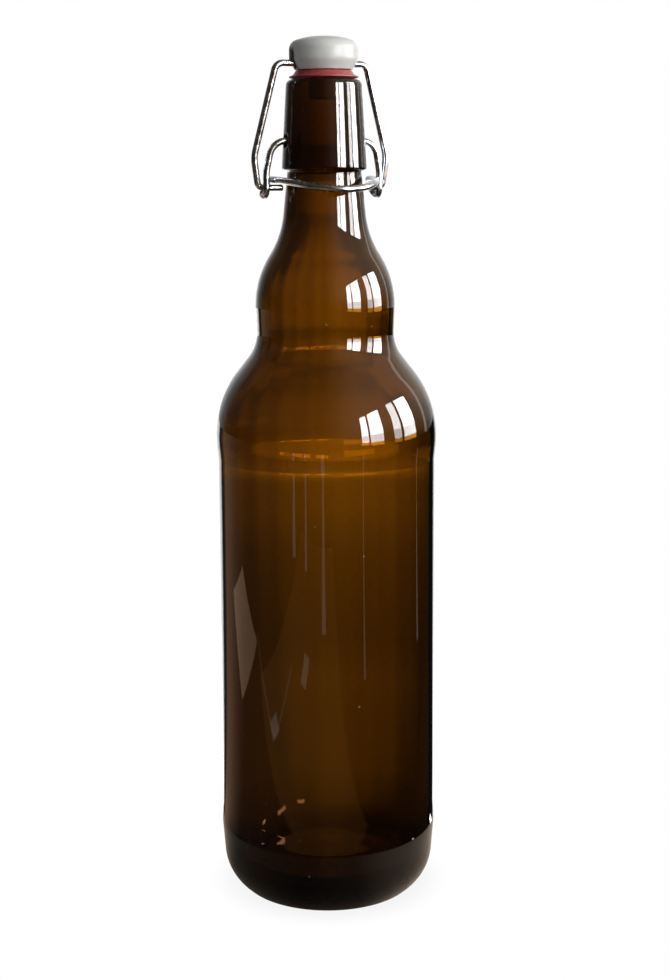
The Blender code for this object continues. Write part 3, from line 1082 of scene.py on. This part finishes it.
def mirrored_table(tree, place, away):
    """What the glass mirrors of the table: painted reflections in its glow.

    It is dark in front and pale behind, warmer close to the foot, and carries painted reflections of
    sheets and painted glints; only mirrored rays see it.
    """
    turn = ahead_right_turn(tree, place)[2]
    far, close = (
        colour_along(tree, turn, [(math.radians(degrees), colour) for degrees, colour in levels])
        for levels in (TABLE_FAR, TABLE_CLOSE))
    inner, outer = CLOSE_REACH
    beyond = add_node(tree, "MapRange", SMOOTH, Value=away, From_Min=inner, From_Max=outer)
    total = add_node(tree, "Mix", RGBA, in0=beyond.outputs["Result"], in6=close, in7=far)
    return with_painted_patches(tree, place, total.outputs[2], PAINTED_REFLECTIONS)


def table_top():
    """A plain pale table, white where it is seen, with a soft shade close to the foot.

    Where it is mirrored or seen through the glass it glows dimmer, with painted reflections, painted
    glints and painted shade.
    """
    made, tree, output = new_material("plain_pale_table")
    place = add_node(tree, "TexCoord").outputs["Object"]
    away = add_node(
        tree, "VectorMath", {"operation": 'LENGTH'}, in0=place).outputs["Value"]
    start, end = FOOT_SHADE
    seen = add_node(
        tree, "MapRange", SMOOTH, Value=away,
        From_Min=start, From_Max=end, To_Min=FOOT_SHADE_LEVEL, To_Max=1.0)
    flat = add_node(tree, "VectorMath", {"operation": 'NORMALIZE'}, in0=place)
    right = add_node(
        tree, "VectorMath", DOT_PRODUCT, in0=flat.outputs["Vector"], in1=studio_direction(90.0))
    shade = add_node(
        tree, "MapRange", SMOOTH, Value=right.outputs["Value"],
        From_Min=0.10, From_Max=0.45, To_Min=1.0, To_Max=RIGHT_SHADE)
    through = colour_along(tree, away, TABLE_THROUGH)
    for factor in (left_dimness(tree, place), shade.outputs["Result"]):
        dimmed = add_node(tree, "VectorMath", SCALE, in0=through, Scale=factor)
        through = dimmed.outputs["Vector"]
    through = with_painted_patches(tree, place, through, PAINTED_GLOWS_SEEN_THROUGH)
    light = ray_mix(tree, seen.outputs["Result"], mirrored_table(tree, place, away), through)
    glow = add_node(tree, "Emission", Color=light, Strength=1.0)
    tree.links.new(glow.outputs["Emission"], output.inputs["Surface"])
    return made


def add_table(radius):
    """Add the round table top: rings of corners at z = 0, joined by quads round one middle face."""
    rings = np.array(TABLE_RINGS)[:, None] * radius
    a = np.arange(TABLE_CORNERS) * 2 * math.pi / TABLE_CORNERS
    points = np.stack([rings * np.cos(a), rings * np.sin(a), 0 * rings * a], axis=2).reshape(-1, 3)
    index = np.arange(len(points)).reshape(-1, TABLE_CORNERS)
    ahead = np.roll(index, -1, axis=1)
    faces = np.stack([index[:-1], index[1:], ahead[1:], ahead[:-1]], axis=2).reshape(-1, 4)
    mesh = bpy.data.meshes.new("table")
    mesh.from_pydata(points.tolist(), [], faces.tolist() + [index[0].tolist()])
    mesh.materials.append(table_top())
    table = bpy.data.objects.new("table", mesh)
    bpy.context.scene.collection.objects.link(table)


def add_camera():
    """Stand the camera where the picture was taken from, and make it the scene's own."""
    data = bpy.data.cameras.new("camera")
    data.lens, data.sensor_width, data.shift_x = CAMERA_LENS, CAMERA_SENSOR, CAMERA_SHIFT
    data.clip_start, data.clip_end = CAMERA_CLIP
    made = bpy.data.objects.new("camera", data)
    bpy.context.scene.collection.objects.link(made)
    front, upwards = studio_direction(0.0), Vector((0.0, 0.0, 1.0))
    made.location = (front * CAMERA_DISTANCE + upwards * CAMERA_HEIGHT) * MM
    ahead = -front * math.cos(CAMERA_PITCH) - upwards * math.sin(CAMERA_PITCH)
    look = ahead.to_track_quat('-Z', 'Y').to_matrix()
    made.rotation_euler = (look @ Matrix.Rotation(-CAMERA_ROLL, 3, 'Z')).to_euler()
    bpy.context.scene.camera = made


class BOTTLE_OT_add_studio(Operator):
    """Set the pale table, the soft light with its window panes, and the camera"""

    bl_idname = "bottle.add_studio"
    bl_label = "Add studio"

    def execute(self, context):
        settings = context.scene.bottle_studio
        context.scene.view_settings.view_transform = 'Standard'
        build_sky()
        add_table(settings.floor_radius)
        add_window(settings.window_strength)
        for name, turn, height, power in (
            ("soft_key", KEY_TURN, KEY_HEIGHT, settings.key_power),
            ("soft_fill", FILL_TURN, FILL_HEIGHT, settings.fill_power),
        ):
            panel = add_panel(
                name, turn, SOFT_LIGHT_DISTANCE, 0.0, height, SOFT_LIGHT_SIZE, SOFT_LIGHT_SIZE,
                diffuse=True)
            panel.data.energy = power
        add_camera()
        return {'FINISHED'}


class BOTTLE_PT_panel(Panel):
    """Lists the pieces of the bottle and the values they are made from"""

    bl_label = "Swing top bottle"
    bl_idname = "BOTTLE_PT_panel"
    bl_space_type = 'VIEW_3D'
    bl_region_type = 'UI'
    bl_category = "Bottle"

    def draw(self, context):
        for title, settings, operators in (
            ("Glass", context.scene.bottle_glass, (BOTTLE_OT_add_glass,)),
            ("Closure", context.scene.bottle_closure,
             (BOTTLE_OT_add_stopper, BOTTLE_OT_add_seal, BOTTLE_OT_add_wires)),
            ("Studio", context.scene.bottle_studio, (BOTTLE_OT_add_studio,)),
        ):
            box = self.layout.box()
            box.label(text=title)
            for name in settings.__annotations__:
                box.prop(settings, name)
            for operator in operators:
                box.operator(operator.bl_idname)


CLASSES = (
    GlassSettings, ClosureSettings, StudioSettings,
    BOTTLE_OT_add_glass, BOTTLE_OT_add_stopper, BOTTLE_OT_add_seal, BOTTLE_OT_add_wires,
    BOTTLE_OT_add_studio,
    BOTTLE_PT_panel,
)


def register():
    """Register the classes and give the scene its settings."""
    for each in CLASSES:
        bpy.utils.register_class(each)
    bpy.types.Scene.bottle_glass = PointerProperty(type=GlassSettings)
    bpy.types.Scene.bottle_closure = PointerProperty(type=ClosureSettings)
    bpy.types.Scene.bottle_studio = PointerProperty(type=StudioSettings)


def unregister():
    """Take the settings and the classes away again."""
    del bpy.types.Scene.bottle_glass, bpy.types.Scene.bottle_closure, bpy.types.Scene.bottle_studio
    for each in reversed(CLASSES):
        bpy.utils.unregister_class(each)


def main():
    """Build every piece and the studio."""
    register()
    bpy.ops.bottle.add_glass()
    bpy.ops.bottle.add_stopper()
    bpy.ops.bottle.add_seal()
    bpy.ops.bottle.add_wires()
    bpy.ops.bottle.add_studio()


if __name__ == "__main__":
    main()
